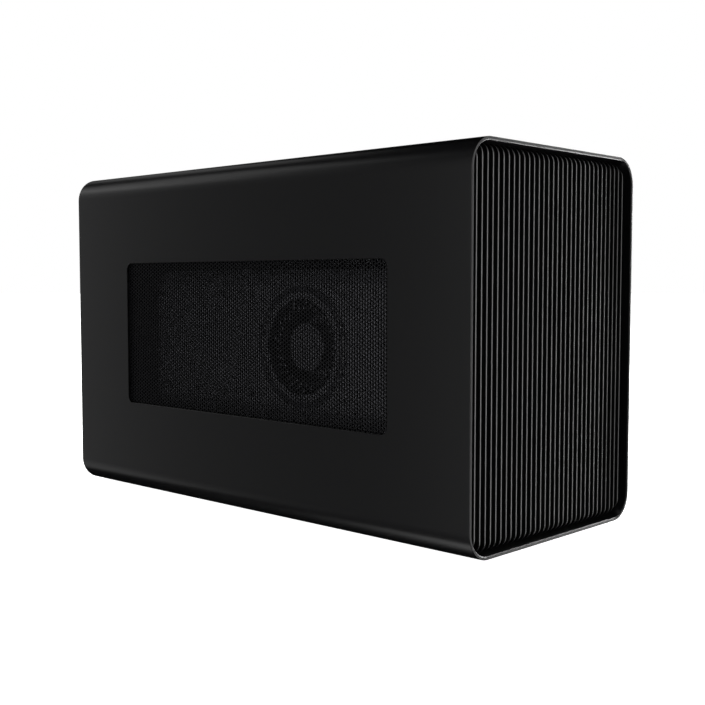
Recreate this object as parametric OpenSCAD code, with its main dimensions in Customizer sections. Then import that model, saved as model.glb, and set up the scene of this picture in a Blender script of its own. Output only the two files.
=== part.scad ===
// External enclosure for a graphics card: an aluminium sleeve with a ribbed
// front and a perforated window, and a drawer that slides out to the rear.
// The drawer carries the card, its carrier board, the power supply and a fan.
// Frame: +Z up, front towards -Y, origin on the ground midway under the box.

/* [Sleeve] */
// Outer width of the sleeve
sleeve_w = 167; // [165:1:180]
// Outer height of the sleeve
sleeve_h = 228; // [224:1:245]
// Depth of the sleeve, front edge to rear edge
sleeve_d = 371; // [365:1:390]
// Wall of the sleeve
sleeve_wall = 2; // [1.5:0.1:2.5]
// Outer corner radius of the sleeve
sleeve_r = 16.5; // [14:0.5:18]

/* [Window and vent] */
// Length of the window in the left side
window_l = 250; // [220:1:260]
// Height of the window
window_h = 100; // [80:1:110]
// Corner radius of the window and of the vent
window_r = 4.8; // [3:0.1:8]
// Distance from the sleeve's front edge to the window
window_front = 59.2; // [50:0.1:70]
// Length of the vent in the right side
vent_l = 262; // [240:1:270]
// Height of the vent
vent_h = 116; // [100:1:124]
// Distance from the sleeve's front edge to the vent
vent_front = 62; // [50:1:70]
// Height of the vent's centre above the sleeve's underside
vent_rise = 96; // [90:1:110]
// Thickness of the perforated sheets
mesh_t = 1; // [0.8:0.1:1.2]
// Rim of a perforated sheet past its cut-out
mesh_rim = 7; // [5:0.5:9]
// Spacing of the hexagonal holes
mesh_pitch = 9; // [8:0.5:12]
// Web left between two holes
mesh_web = 1.2; // [1:0.1:2]

/* [Front panel] */
// Number of vertical fins
fin_count = 32; // [28:1:32]
// Spacing of the fins
fin_pitch = 4.865; // [4.4:0.005:4.9]
// Thickness of a fin
fin_t = 1.1; // [0.8:0.1:1.6]
// Depth of the grooves between the fins
fin_depth = 9; // [7:0.5:11]
// Set-back of the fins behind the sleeve's front edge
fin_recess = 3; // [2:0.5:5]
// Plate behind the fins
fin_plate_t = 3; // [2:0.5:4]
// Radius with which the fins roll back at the panel's rim
fin_roll_r = 6.5; // [5:0.5:7]
// Gap all round between the panel and the sleeve
panel_gap = 0.5; // [0.3:0.1:0.8]
// Sheet of the bulkhead behind the panel
bulkhead_t = 1.5; // [1:0.1:2]
// Depth of the bulkhead's rim
bulkhead_rim = 10; // [8:1:14]

/* [Feet and rails] */
// Height of the rubber feet
foot_h = 2; // [1.5:0.1:3]
// Width of a foot
foot_w = 12; // [10:1:16]
// Length of a foot
foot_l = 44; // [30:1:60]
// Height of the guide rails
rail_h = 6; // [5.5:0.5:8]
// Width of a guide rail
rail_w = 8; // [6:1:10]

/* [Drawer] */
// Sheet of the tray and of the inner walls
sheet_t = 1.5; // [1.2:0.1:1.8]
// Height of the tray's side flanges
tray_flange = 12; // [10:1:14]
// Set-back of the rear panel inside the sleeve
rear_recess = 13; // [12.5:0.5:15]
// Height of the card shelf above the tray
shelf_h = 26; // [24:1:27]
// Top of the centre wall above the tray
centre_wall_h = 160; // [150:1:170]

/* [Handle] */
// Distance that the folded handle stands proud of the sleeve
handle_proud = 3; // [2:0.5:5]
// Outer width of the handle
handle_w = 110; // [90:1:120]
// Thickness of the handle's bail
handle_t = 8; // [7:0.5:9]
// Reach of the handle from its pivot to its lower edge
handle_reach = 32; // [28:1:34]
// Width of the handle's arms
handle_arm = 8; // [7:0.5:10]
// Height of the grip
handle_grip = 11; // [9:0.5:13]
// Radius of the pivot bosses
handle_boss_r = 6.5; // [5.5:0.5:7]
// Radius of the pivot pins
handle_pin_r = 2; // [1.5:0.1:2.5]

/* [Power supply] */
// Thickness of the supply, across the enclosure
supply_w = 86; // [80:1:87]
// Height of the supply as mounted
supply_h = 150; // [145:1:152]
// Depth of the supply
supply_l = 140; // [130:1:150]
// Sheet of the supply's case
supply_t = 1; // [0.8:0.1:1.2]
// Spacing of the exhaust holes
exhaust_pitch = 8; // [7.5:0.5:10]
// Web left between two exhaust holes
exhaust_web = 1.4; // [1:0.1:2]

/* [Fans] */
// Side of the square fan frames
fan_size = 120; // [116:1:122]
// Depth of the fan frames
fan_t = 25; // [22:1:26]
// Radius of the fan's duct
fan_duct_r = 57.5; // [54:0.5:58]
// Radius of the fan's hub
fan_hub_r = 20; // [18:0.5:24]
// Number of blades
fan_blades = 9; // [7:1:11]
// Spacing of the fan's screw holes
fan_hole_pitch = 105; // [104:0.5:106]

/* [Carrier board] */
// Width of the carrier board
carrier_w = 62; // [56:1:63]
// Length of the carrier board
carrier_l = 172; // [165:1:180]
// Thickness of both circuit boards
board_t = 1.6; // [1.4:0.1:1.8]
// Height of the standoffs
standoff_h = 7.1; // [6:0.1:8]
// Height of the card slot
slot_h = 11.2; // [10.8:0.1:11.6]
// Length of the card slot
slot_l = 89; // [88:0.5:90]
// Width of the card slot
slot_w = 7.5; // [7:0.1:8.5]

/* [Graphics card] */
// Height of the card's board above its slot edge
card_h = 102.5; // [98:0.5:104]
// Thickness of the card from the board's face to the shroud's face
card_deep = 37; // [35:0.5:38]
// Length of the shroud
shroud_l = 280; // [270:1:284]
// Height of the shroud
shroud_h = 100; // [98:0.5:101]
// Wall of the shroud
shroud_wall = 2; // [1.6:0.1:2.4]
// Height of the bevels along the shroud
shroud_bevel = 9.5; // [7:0.5:11]
// Depth of the bevels
shroud_bevel_deep = 6; // [4:0.5:8]
// Radius of the intake opening
intake_r = 31; // [29:0.5:32]
// Distance of the blower's axis from the bracket
blower_back = 199; // [190:1:202]
// Radius of the blower's hub
blower_hub_r = 15.5; // [14:0.5:17]
// Number of blower blades
blower_blades = 31; // [25:1:35]
// Spacing of the card slots
bay_pitch = 20.32; // [20:0.02:20.5]

/* [Hidden] */
$fn = 64;

// Clearances and the one overrun of all cuts
over = 0.5;
run_gap = 0.3;
seat_gap = 0.2;
shaft_gap = 0.05;
drawer_gap = 0.6;

// Sleeve and what lines up with it
overall_d = sleeve_d + handle_proud;
front_y = -overall_d / 2;
sleeve_rear_y = front_y + sleeve_d;
mid_y = (front_y + sleeve_rear_y) / 2;
mid_z = foot_h + sleeve_h / 2;
inner_w = sleeve_w - 2 * sleeve_wall;
inner_h = sleeve_h - 2 * sleeve_wall;
inner_r = sleeve_r - sleeve_wall;
floor_z = foot_h + sleeve_wall;
window_y = front_y + window_front + window_l / 2;
vent_y = front_y + vent_front + vent_l / 2;
vent_z = foot_h + vent_rise;

// Front panel
fin_front_y = front_y + fin_recess;
panel_rear_y = fin_front_y + fin_depth + fin_plate_t;
panel_w = inner_w - 2 * panel_gap;
panel_h = inner_h - 2 * panel_gap;
panel_r = inner_r - panel_gap;

// Feet and rails
foot_x_share = 0.33;
foot_y_share = 0.38;
rail_x = inner_w / 2 - inner_r - rail_w;
rail_top_z = floor_z + rail_h;

// Drawer
panel_y = sleeve_rear_y - rear_recess;
panel_in_y = panel_y - sheet_t;
tray_z = rail_top_z + run_gap;
tray_top_z = tray_z + sheet_t;
tray_side_gap = 5.5;
tray_w = inner_w - 2 * tray_side_gap;
tray_front_y = panel_rear_y + bulkhead_rim + drawer_gap;
shelf_top_z = tray_top_z + shelf_h;

// Supply
supply_side_gap = 2.5;
supply_x1 = inner_w / 2 - mesh_t - supply_side_gap;
supply_x0 = supply_x1 - supply_w;
supply_y1 = panel_in_y;
supply_y0 = supply_y1 - supply_l;
supply_z0 = tray_top_z;
supply_z1 = supply_z0 + supply_h;
supply_mid_x = (supply_x0 + supply_x1) / 2;
supply_mid_z = (supply_z0 + supply_z1) / 2;
supply_fan_y = supply_y0 + supply_l / 2;
supply_frame_x = supply_x1 - supply_t - fan_t;

// Case fan
fan_bracket_x = supply_x1 - fan_t - sheet_t;
case_fan_y = (tray_front_y + supply_y0) / 2;
case_fan_z = vent_z;

// Carrier board
carrier_z = shelf_top_z + standoff_h;
carrier_top_z = carrier_z + board_t;
carrier_y1 = panel_in_y - run_gap;
carrier_y0 = carrier_y1 - carrier_l;

// Card
card_to_supply = 11;
card_x = supply_x0 - card_to_supply;
card_edge_gap = 1;
card_z = carrier_top_z + slot_h + card_edge_gap;
bracket_t = 0.9;
bracket_y = panel_in_y - bracket_t;
shroud_x = card_x - card_deep;
shroud_z = card_z + (card_h - shroud_h) / 2 + card_edge_gap;
shroud_mid_z = shroud_z + shroud_h / 2;
shroud_y0 = bracket_y - shroud_l;
blower_y = bracket_y - blower_back;
centre_wall_x = supply_x0 - sheet_t - drawer_gap;
carrier_x1 = centre_wall_x - drawer_gap;
carrier_mid_x = carrier_x1 - carrier_w / 2;

// Card slots in the rear panel
bay_offset = 5.6;
bay_count = 3;
bay_open_w = 14.2;
bay_z0 = card_z + card_edge_gap;
bracket_h = 111;
bay_head = 6.5;
bay_z1 = bay_z0 + bracket_h - bay_head;
ledge_z = card_z + bracket_h;
ledge_t = 1.5;
ledge_deep = 11.5;
tab_deep = 10.5;
bracket_w = 18.4;
bracket_foot = 4;

function bay_x(i) = card_x - bay_offset - i * bay_pitch;

// Tray and rear panel
tray_flange_end = supply_y0 - drawer_gap;
wall_holes = 7;
wall_hole = 34;
tray_hole_rows = 6;
tray_hole_pitch = 22;
tray_hole_x = supply_mid_x;
tray_hole_w = 54;
tray_hole_l = 8;
tab_slot_h = 3.2;
rear_rim = 7;
supply_frame = 7;
lock_w = 3;
lock_h = 7;
lock_x = bay_x(bay_count - 1);
lock_z = tray_top_z + lock_h;

// Handle
handle_y = sleeve_rear_y + handle_proud - handle_boss_r - seat_gap - run_gap;
handle_z = mid_z + inner_h / 2 - 2 * handle_boss_r;
handle_x = handle_w / 2;
lug_t = 3;

// Screws
fan_screw_r = 2;
screw_head_r = 3.4;
screw_head_t = 1.8;
supply_screw_in = 4;
supply_screw_x = supply_w / 2 - supply_screw_in;
supply_screw_z = supply_h / 2 - 4 * supply_screw_in;
supply_screw_places = [for (i = [-1, 1], j = [-1, 1])
    [supply_mid_x + i * supply_screw_x, supply_mid_z + j * supply_screw_z]];

// Fans
fan_strut_t = 3;
fan_strut_w = 5;
fan_corner_r = 5;
shaft_r = 2;
rotor_gap = 1;
blade_t = 1.6;
blade_tilt = 38;
guard_wire = 1.5;
guard_rings = 5;
rotor_l = fan_t - fan_strut_t - 2 * rotor_gap;
blade_camber_r = 26;

// Inlet, switch and circuit of the supply
inlet_w = 27;
inlet_h = 19;
inlet_l = 24;
inlet_wall = 1.5;
inlet_floor = 4;
inlet_x = supply_frame_x - inlet_w / 2 - rotor_gap;
inlet_z = supply_z1 - 1.2 * inlet_h;
plug_flange = 1.2;
pin_w = 2;
pin_h = 4;
pin_l = 13;
pin_pitch = 7;
switch_w = 13;
switch_h = 19;
switch_l = 14;
switch_wall = 1;
switch_gap = 2;
switch_x = inlet_x - inlet_w / 2 - inlet_wall - switch_gap - switch_wall - switch_w / 2;
rocker_r = 8;
rocker_tilt = 9;
rocker_drop = 3.5;
rocker_lip = 2.2;
exhaust_h = 92;
circuit_lift = 1;
coil_count = 3;
coil_deep_share = 0.7;
coil_h = 26;

// What stands on the carrier board
usb_w = 9;
usb_h = 3.2;
usb_l = 9;
usb_shell = 0.7;
usb_x = carrier_mid_x - carrier_w / 4;
standoff_hole_r = 1.6;
standoff_r = 3;
standoff_in = 5;
standoff_shares = [[0, 0.5, 1], [0, 1]];
standoff_x = carrier_w / 2 - standoff_in;
standoff_l = carrier_l - 2 * standoff_in;
standoff_places = [for (i = [0, 1], s = standoff_shares[i])
    [carrier_mid_x + (2 * i - 1) * standoff_x, carrier_y0 + standoff_in + s * standoff_l]];
finger_back = 44.5;
finger_l = 85;
finger_h = 8.2;
slot_x = card_x + board_t / 2;
slot_rear_y = bracket_y - finger_back + (slot_l - finger_l) / 2;
slot_gap_w = board_t + 2 * seat_gap;
latch_l = 6;
latch_w = 4;
latch_ear_t = 1.5;
latch_r = 1.5;
latch_y = slot_rear_y - slot_l - latch_l / 2 - run_gap;
latch_z = carrier_top_z + latch_l / 2 + run_gap;
sink_fin_count = 9;
sink_w = 34;
sink_l = 40;
sink_h = 12;
sink_base = 3;
sink_fin_t = 1.2;
socket_h = 12;
socket_pitch = 4.2;
socket_wall = 0.8;
socket_cols = 4;
socket_rows = 2;
socket_l = socket_cols * socket_pitch + socket_wall;
socket_w = socket_rows * socket_pitch + socket_wall;
socket_step = socket_l + socket_pitch - socket_wall;

// Board, backplate and bracket of the card
board_short = 14;
key_back = 13.5;
key_w = 1.9;
backplate_t = 1.2;
backplate_gap = 1.4;
backplate_short = 18;
backplate_in = 6;
backplate_low = 8;
backplate_l_share = [0.12, 0.5, 0.88];
backplate_h_share = [0.1, 0.9];
backplate_places = [for (s = backplate_l_share, t = backplate_h_share)
    [bracket_y - s * shroud_l, card_z + t * card_h]];
vent_slot_w = 3;
vent_slot_n = 12;
thumb_y = panel_y + ledge_deep / 2;
thumb_r = 1.75;
thumb_head_r = 4.6;
thumb_head_h = 7;
thumb_grips = 18;
video_w = 5.6;
video_h = 16.4;
video_l = 19;
video_x = card_x - video_w / 2 - seat_gap;
video_n = 4;
video_places = [for (i = [0 : video_n - 1]) bay_z0 + video_h * 0.9 + i * video_h * 1.4];

// Heat sink, blower and shroud
card_fin_count = 24;
card_fin_t = 0.9;
heat_lift = 2.5;
heat_posts = [for (i = [-1, 1], j = [-1, 1])
    [bracket_y - shroud_l * 0.36 + i * shroud_h / 4, shroud_mid_z + j * shroud_h / 4]];
blower_hollow_r = 38;
blower_r = 34;
blower_inner_r = 24;
blower_disc_t = 1.6;
blower_blade_t = 1;
motor_h = 9;
motor_shaft_h = 12;
nose_l = 12;
nose_deep = 8;
nose_back = 4;
tail_l = 45;
tail_deep = 9;
tail_step = 22;
ring_proud = 0.8;
ring_r = 40;
face_step = 1;
nose_share = 0.5;
shoulder_share = 0.66;
shoulder_l = 22;
card_socket_y = bracket_y - shroud_l * 0.62;
shroud_screw_share = [0.19, 0.44, 0.54, 0.84];
shroud_screw_z = shroud_h / 2 - shroud_bevel - 2 * screw_head_r;
shroud_screw_places = [for (s = shroud_screw_share, t = [-1, 1])
    [bracket_y - s * shroud_l, shroud_mid_z + t * shroud_screw_z]];

// Places a flat outline in the planes that the pieces are drawn in
module along_x(len) rotate([90, 0, 90]) linear_extrude(len) children();
module along_y(len) translate([0, len, 0]) rotate([90, 0, 0]) linear_extrude(len) children();

module rounded_rect(a, b, r) {
    square([a - 2 * r, b], center = true);
    square([a, b - 2 * r], center = true);
    for (i = [-1, 1], j = [-1, 1])
        translate([i * (a / 2 - r), j * (b / 2 - r)]) circle(r);
}

module box(x0, x1, y0, y1, z0, z1)
    translate([x0, y0, z0]) cube([x1 - x0, y1 - y0, z1 - z0]);

// Staggered hexagonal holes in columns that fill a by b
module hex_holes(a, b, pitch, web) {
    step = pitch * sqrt(3) / 2;
    columns = floor((a - pitch) / step);
    rows = floor((b - pitch) / pitch);
    for (i = [0 : columns - 1], j = [0 : rows - 1])
        translate([(i - (columns - 1) / 2) * step, (j - (rows - 1) / 2) * pitch + (i % 2 - 0.5) * pitch / 2])
            circle(d = (pitch - web) * 2 / sqrt(3), $fn = 6);
}

// Sleeve side
module sleeve() color("#1c1c1d") {
    difference() {
        translate([0, front_y, mid_z]) along_y(sleeve_d) difference() {
            rounded_rect(sleeve_w, sleeve_h, sleeve_r);
            rounded_rect(inner_w, inner_h, inner_r);
        }
        translate([-sleeve_w / 2 - over, window_y, mid_z])
            along_x(sleeve_wall + 2 * over) rounded_rect(window_l, window_h, window_r);
        translate([inner_w / 2 - over, vent_y, vent_z])
            along_x(sleeve_wall + 2 * over) rounded_rect(vent_l, vent_h, window_r);
    }
}

module perforated_sheet(len, high) along_x(mesh_t) difference() {
    rounded_rect(len + 2 * mesh_rim, high + 2 * mesh_rim, window_r);
    hex_holes(len, high, mesh_pitch, mesh_web);
}

module window_mesh() color("#141414")
    translate([-inner_w / 2, window_y, mid_z]) perforated_sheet(window_l, window_h);

module vent_mesh() color("#141414")
    translate([inner_w / 2 - mesh_t, vent_y, vent_z]) perforated_sheet(vent_l, vent_h);

// Fins and back plate as one comb, cut to the rolled outline
module front_fin_panel() {
    deep = fin_depth + fin_plate_t;
    color("#101010") intersection() {
        translate([0, fin_front_y, mid_z - panel_h / 2]) linear_extrude(panel_h) {
            translate([-panel_w / 2, fin_depth]) square([panel_w, fin_plate_t]);
            for (i = [0 : fin_count - 1])
                translate([(i - (fin_count - 1) / 2) * fin_pitch, 0]) {
                    translate([0, fin_t / 2]) circle(d = fin_t);
                    translate([-fin_t / 2, fin_t / 2]) square([fin_t, fin_depth]);
                }
        }
        translate([0, fin_front_y, mid_z]) along_y(deep) rounded_rect(panel_w, panel_h, panel_r);
        translate([-panel_w / 2, fin_front_y, mid_z - panel_h / 2]) along_x(panel_w)
            rolled_profile(deep, panel_h);
    }
}

// Side outline of the panel, rounded at the front corners only
module rolled_profile(deep, high) {
    translate([fin_roll_r, 0]) square([deep - fin_roll_r, high]);
    translate([0, fin_roll_r]) square([deep, high - 2 * fin_roll_r]);
    for (z = [fin_roll_r, high - fin_roll_r]) translate([fin_roll_r, z]) circle(fin_roll_r);
}

module front_bulkhead() color("#202020") {
    outer_w = inner_w - 2 * seat_gap;
    outer_h = inner_h - 2 * seat_gap;
    outer_r = inner_r - seat_gap;
    translate([0, panel_rear_y, mid_z]) along_y(bulkhead_t) rounded_rect(outer_w, outer_h, outer_r);
    translate([0, panel_rear_y, mid_z]) along_y(bulkhead_rim) difference() {
        rounded_rect(outer_w, outer_h, outer_r);
        rounded_rect(outer_w - 2 * bulkhead_t, outer_h - 2 * bulkhead_t, outer_r - bulkhead_t);
    }
}

module feet() color("#0c0c0c")
    for (i = [-1, 1], j = [-1, 1])
        translate([i * sleeve_w * foot_x_share, mid_y + j * sleeve_d * foot_y_share, 0])
            linear_extrude(foot_h) rounded_rect(foot_w, foot_l, foot_w / 3);

module guide_rails() color("#262626")
    for (i = [0, 1]) mirror([i, 0, 0])
        box(rail_x, rail_x + rail_w, tray_front_y, panel_in_y - bulkhead_rim, floor_z, rail_top_z);

// Drawer side
module base_tray() color("#3a3a3a") difference() {
    union() {
        box(-tray_w / 2, tray_w / 2, tray_front_y, panel_in_y, tray_z, tray_top_z);
        for (i = [0, 1]) mirror([i, 0, 0])
            box(tray_w / 2 - sheet_t, tray_w / 2, tray_front_y, tray_flange_end,
                tray_z, tray_z + tray_flange);
        box(-tray_w / 2, tray_w / 2, tray_front_y, tray_front_y + sheet_t, tray_z, tray_z + tray_flange);
    }
    for (i = [0 : tray_hole_rows - 1])
        translate([tray_hole_x, tray_front_y + (i + 1) * tray_hole_pitch, tray_z - over])
            linear_extrude(sheet_t + 2 * over) rounded_rect(tray_hole_w, tray_hole_l, tray_hole_l / 2 - over);
}

module bay_openings() {
    for (i = [0 : bay_count - 1])
        translate([bay_x(i), (bay_z0 + bay_z1) / 2]) square([bay_open_w, bay_z1 - bay_z0], center = true);
    translate([bay_x(1), ledge_z + tab_slot_h / 2])
        square([(bay_count - 1) * bay_pitch + bracket_w + 2 * drawer_gap, tab_slot_h], center = true);
}

module rear_panel() color("#232323") {
    outer_w = inner_w - 2 * drawer_gap;
    outer_h = inner_h - 2 * drawer_gap;
    outer_r = inner_r - drawer_gap;
    translate([0, panel_in_y, 0]) along_y(sheet_t) difference() {
        translate([0, mid_z]) rounded_rect(outer_w, outer_h, outer_r);
        bay_openings();
        translate([supply_mid_x, supply_mid_z])
            rounded_rect(supply_w - 2 * supply_frame, supply_h - 2 * supply_frame, supply_frame / 2);
        for (p = supply_screw_places) translate(p) circle(fan_screw_r);
        translate([usb_x, carrier_top_z + usb_h / 2])
            rounded_rect(usb_w + 2 * run_gap, usb_h + 2 * run_gap, usb_h / 2);
        translate([lock_x, lock_z]) rounded_rect(lock_w, lock_h, lock_w / 3);
    }
    translate([0, panel_in_y - rear_rim, mid_z]) along_y(rear_rim + over) difference() {
        rounded_rect(outer_w, outer_h, outer_r);
        rounded_rect(outer_w - 2 * sheet_t, outer_h - 2 * sheet_t, outer_r - sheet_t);
    }
    difference() {
        box(bay_x(bay_count - 1) - bracket_w / 2 - sheet_t, bay_x(0) + bracket_w / 2 + sheet_t,
            panel_in_y, panel_y + ledge_deep, ledge_z - ledge_t, ledge_z);
        for (i = [0 : bay_count - 1])
            translate([bay_x(i), thumb_y, ledge_z - ledge_t - over])
                linear_extrude(ledge_t + 2 * over) circle(thumb_r + seat_gap);
    }
}

// Wall between the card and the supply, with two rows of lightening holes
module centre_wall() color("#3a3a3a") {
    wall_y0 = tray_front_y + sheet_t + drawer_gap;
    wall_l = panel_in_y - wall_y0;
    translate([centre_wall_x, wall_y0, tray_top_z]) along_x(sheet_t) difference() {
        square([wall_l, centre_wall_h]);
        for (i = [0 : wall_holes - 1], j = [0, 1])
            translate([(i + 0.5) * wall_l / wall_holes, centre_wall_h * (0.45 + 0.3 * j)])
                rounded_rect(wall_hole, wall_hole, tray_flange / 2);
    }
    box(centre_wall_x - tray_flange + sheet_t, centre_wall_x, wall_y0, carrier_y0 - drawer_gap,
        tray_top_z, tray_top_z + sheet_t);
}

module board_shelf() color("#3a3a3a") {
    shelf_x0 = carrier_mid_x - carrier_w / 2 - sheet_t;
    shelf_x1 = carrier_mid_x + carrier_w / 2 - sheet_t;
    shelf_y0 = carrier_y0;
    shelf_y1 = panel_in_y;
    box(shelf_x0, shelf_x1, shelf_y0, shelf_y1, shelf_top_z - sheet_t, shelf_top_z);
    for (x = [shelf_x0, shelf_x1 - sheet_t])
        box(x, x + sheet_t, shelf_y0, shelf_y1, tray_top_z, shelf_top_z);
}

// Low bracket that holds the case fan by its two lower corners
module fan_bracket() color("#3a3a3a") {
    half = fan_size / 2;
    difference() {
        box(fan_bracket_x, fan_bracket_x + sheet_t, case_fan_y - half, case_fan_y + half,
            tray_top_z, case_fan_z - fan_hub_r);
        translate([fan_bracket_x - over, case_fan_y, case_fan_z]) along_x(sheet_t + 2 * over) {
            circle(fan_duct_r);
            fan_corner_holes(fan_screw_r + seat_gap);
        }
    }
    box(fan_bracket_x - tray_flange, fan_bracket_x, case_fan_y - half, case_fan_y + half,
        tray_top_z, tray_top_z + sheet_t);
}

// Handle and what carries it
module handle_bracket() color("#2b2b2b") {
    for (i = [0, 1]) mirror([i, 0, 0]) {
        box(handle_x - handle_arm, handle_x + run_gap + lug_t + tray_flange, panel_y, panel_y + sheet_t,
            handle_z - handle_boss_r, handle_z + handle_boss_r);
        translate([handle_x + run_gap, 0, 0]) along_x(lug_t) difference() {
            union() {
                translate([handle_y, handle_z]) circle(handle_boss_r - over);
                translate([panel_y, handle_z - handle_boss_r + over])
                    square([handle_y - panel_y, 2 * (handle_boss_r - over)]);
            }
            translate([handle_y, handle_z]) circle(handle_pin_r + shaft_gap);
        }
    }
}

module handle_pins() color("#9a9a9a")
    for (i = [0, 1]) mirror([i, 0, 0]) {
        translate([handle_x - handle_arm - seat_gap, handle_y, handle_z])
            along_x(handle_arm + 2 * seat_gap + run_gap + lug_t) circle(handle_pin_r);
        translate([handle_x + run_gap + lug_t + seat_gap, handle_y, handle_z])
            along_x(handle_pin_r / 2) circle(1.8 * handle_pin_r);
    }

module handle() color("#1a1a1a") {
    bail_y = sleeve_rear_y + handle_proud - handle_t;
    grip_z = handle_z - handle_reach;
    difference() {
        union() {
            translate([0, bail_y, 0]) along_y(handle_t) {
                translate([0, grip_z + handle_grip / 2]) rounded_rect(handle_w, handle_grip, handle_grip / 3);
                for (i = [0, 1]) mirror([i, 0])
                    translate([handle_x - handle_arm, grip_z + handle_grip / 2])
                        square([handle_arm, handle_reach - handle_grip / 2]);
            }
            for (i = [0, 1]) mirror([i, 0, 0])
                translate([handle_x - handle_arm, handle_y, handle_z])
                    along_x(handle_arm) circle(handle_boss_r);
        }
        translate([-handle_x - over, handle_y, handle_z])
            along_x(handle_w + 2 * over) circle(handle_pin_r + shaft_gap);
    }
}

// Fans: frame with duct, four screw corners and a hub on struts; rotor with tilted blades
module fan_corner_holes(r) {
    for (i = [-1, 1], j = [-1, 1])
        translate([i * fan_hole_pitch / 2, j * fan_hole_pitch / 2]) circle(r);
}

// The frame's struts and shaft are at its -X face
module fan_frame() {
    strut_l = fan_duct_r + over - fan_hub_r / 2;
    difference() {
        along_x(fan_t) rounded_rect(fan_size, fan_size, fan_corner_r);
        translate([-over, 0, 0]) along_x(fan_t + 2 * over) {
            circle(fan_duct_r);
            fan_corner_holes(fan_screw_r + seat_gap);
        }
    }
    along_x(fan_strut_t) {
        circle(fan_hub_r);
        for (a = [0 : 90 : 270]) rotate(a)
            translate([fan_hub_r / 2, -fan_strut_w / 2]) square([strut_l, fan_strut_w]);
    }
    along_x(fan_t / 2) circle(shaft_r);
}

// Section of a blade: a tilted slice of a tube wall, as long as the rotor is deep
module blade_section() rotate(blade_tilt) translate([-blade_camber_r, 0]) intersection() {
    difference() {
        circle(blade_camber_r);
        circle(blade_camber_r - blade_t);
    }
    translate([0, -rotor_l * 0.6]) square([blade_camber_r, rotor_l * 1.2]);
}

module fan_rotor() {
    root_r = fan_hub_r - 2 * rotor_gap;
    tip_r = fan_duct_r - rotor_gap;
    translate([fan_strut_t + rotor_gap, 0, 0]) difference() {
        union() {
            along_x(rotor_l) circle(fan_hub_r - rotor_gap);
            intersection() {
                along_x(rotor_l) circle(tip_r);
                union() for (i = [0 : fan_blades - 1]) rotate([i * 360 / fan_blades, 0, 0])
                    translate([rotor_l / 2, 0, root_r]) linear_extrude(tip_r) blade_section();
            }
        }
        translate([-over, 0, 0]) along_x(rotor_l * 3 / 4) circle(shaft_r + shaft_gap);
    }
}

module case_fan_frame() color("#171717")
    translate([fan_bracket_x + sheet_t, case_fan_y, case_fan_z]) fan_frame();

module case_fan_rotor() color("#2a2a2a")
    translate([fan_bracket_x + sheet_t, case_fan_y, case_fan_z]) fan_rotor();

module case_fan_screws() color("#8c8c8c")
    translate([fan_bracket_x, case_fan_y, case_fan_z])
        for (i = [-1, 1])
            translate([0, i * fan_hole_pitch / 2, -fan_hole_pitch / 2]) {
                translate([-screw_head_t, 0, 0]) along_x(screw_head_t) circle(screw_head_r);
                translate([-screw_head_t / 2, 0, 0]) along_x(fan_t / 2) circle(fan_screw_r);
            }

// Power supply: a tub with the exhaust and the cable exit, and a cover with the fan's opening
module supply_case() color("#1e1e1e") difference() {
    box(supply_x0, supply_x1 - supply_t, supply_y0, supply_y1, supply_z0 + supply_t, supply_z1 - supply_t);
    box(supply_x0 + supply_t, supply_x1, supply_y0 + supply_t, supply_y1 - supply_t, supply_z0, supply_z1);
    translate([0, supply_y1 - supply_t - over, 0]) along_y(supply_t + 2 * over) {
        translate([supply_mid_x, supply_z0 + supply_frame + exhaust_h / 2])
            hex_holes(supply_w - 2 * supply_frame, exhaust_h, exhaust_pitch, exhaust_web);
        translate([inlet_x, inlet_z]) square([inlet_w, inlet_h], center = true);
        translate([switch_x, inlet_z]) square([switch_w, switch_h], center = true);
        for (p = supply_screw_places) translate(p) circle(fan_screw_r);
    }
    translate([supply_x0 + supply_w / 4, supply_y0 - over, supply_z0 + supply_h / 2])
        along_y(supply_t + 2 * over) rounded_rect(supply_w / 4, supply_h / 3, supply_frame);
}

module supply_cover() color("#222222") difference() {
    box(supply_x0, supply_x1, supply_y0, supply_y1, supply_z0, supply_z1);
    box(supply_x0 - over, supply_x1 - supply_t, supply_y0 - over, supply_y1 + over,
        supply_z0 + supply_t, supply_z1 - supply_t);
    translate([supply_x1 - supply_t - over, supply_fan_y, supply_mid_z]) along_x(supply_t + 2 * over) {
        circle(fan_duct_r);
        fan_corner_holes(fan_screw_r + seat_gap);
    }
}

module supply_circuit() color("#4a5a3c") {
    floor_x = supply_x0 + supply_t + circuit_lift;
    inner_l = supply_l - inlet_l - 4 * supply_t;
    y0 = supply_y0 + 2 * supply_t;
    z0 = supply_z0 + supply_t;
    deep = supply_frame_x - floor_x - board_t - rotor_gap;
    box(floor_x, floor_x + board_t, y0, y0 + inner_l, z0, supply_z1 - supply_t);
    part_x = floor_x + board_t;
    fin_step = (supply_h - 4 * supply_t) / coil_count;
    for (i = [0 : coil_count - 1])
        translate([part_x, y0 + inner_l * 0.2, z0 + (i + 0.3) * supply_h / coil_count])
            cube([deep * coil_deep_share, inner_l * 0.4, coil_h]);
    for (i = [0 : coil_count])
        translate([part_x, y0 + inner_l * 0.1, z0 + i * fin_step]) cube([deep, inner_l * 0.8, supply_t]);
}

module supply_fan_frame() color("#151515")
    translate([supply_frame_x, supply_fan_y, supply_mid_z]) fan_frame();

module supply_fan_rotor() color("#2a2a2a")
    translate([supply_frame_x, supply_fan_y, supply_mid_z]) fan_rotor();

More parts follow.
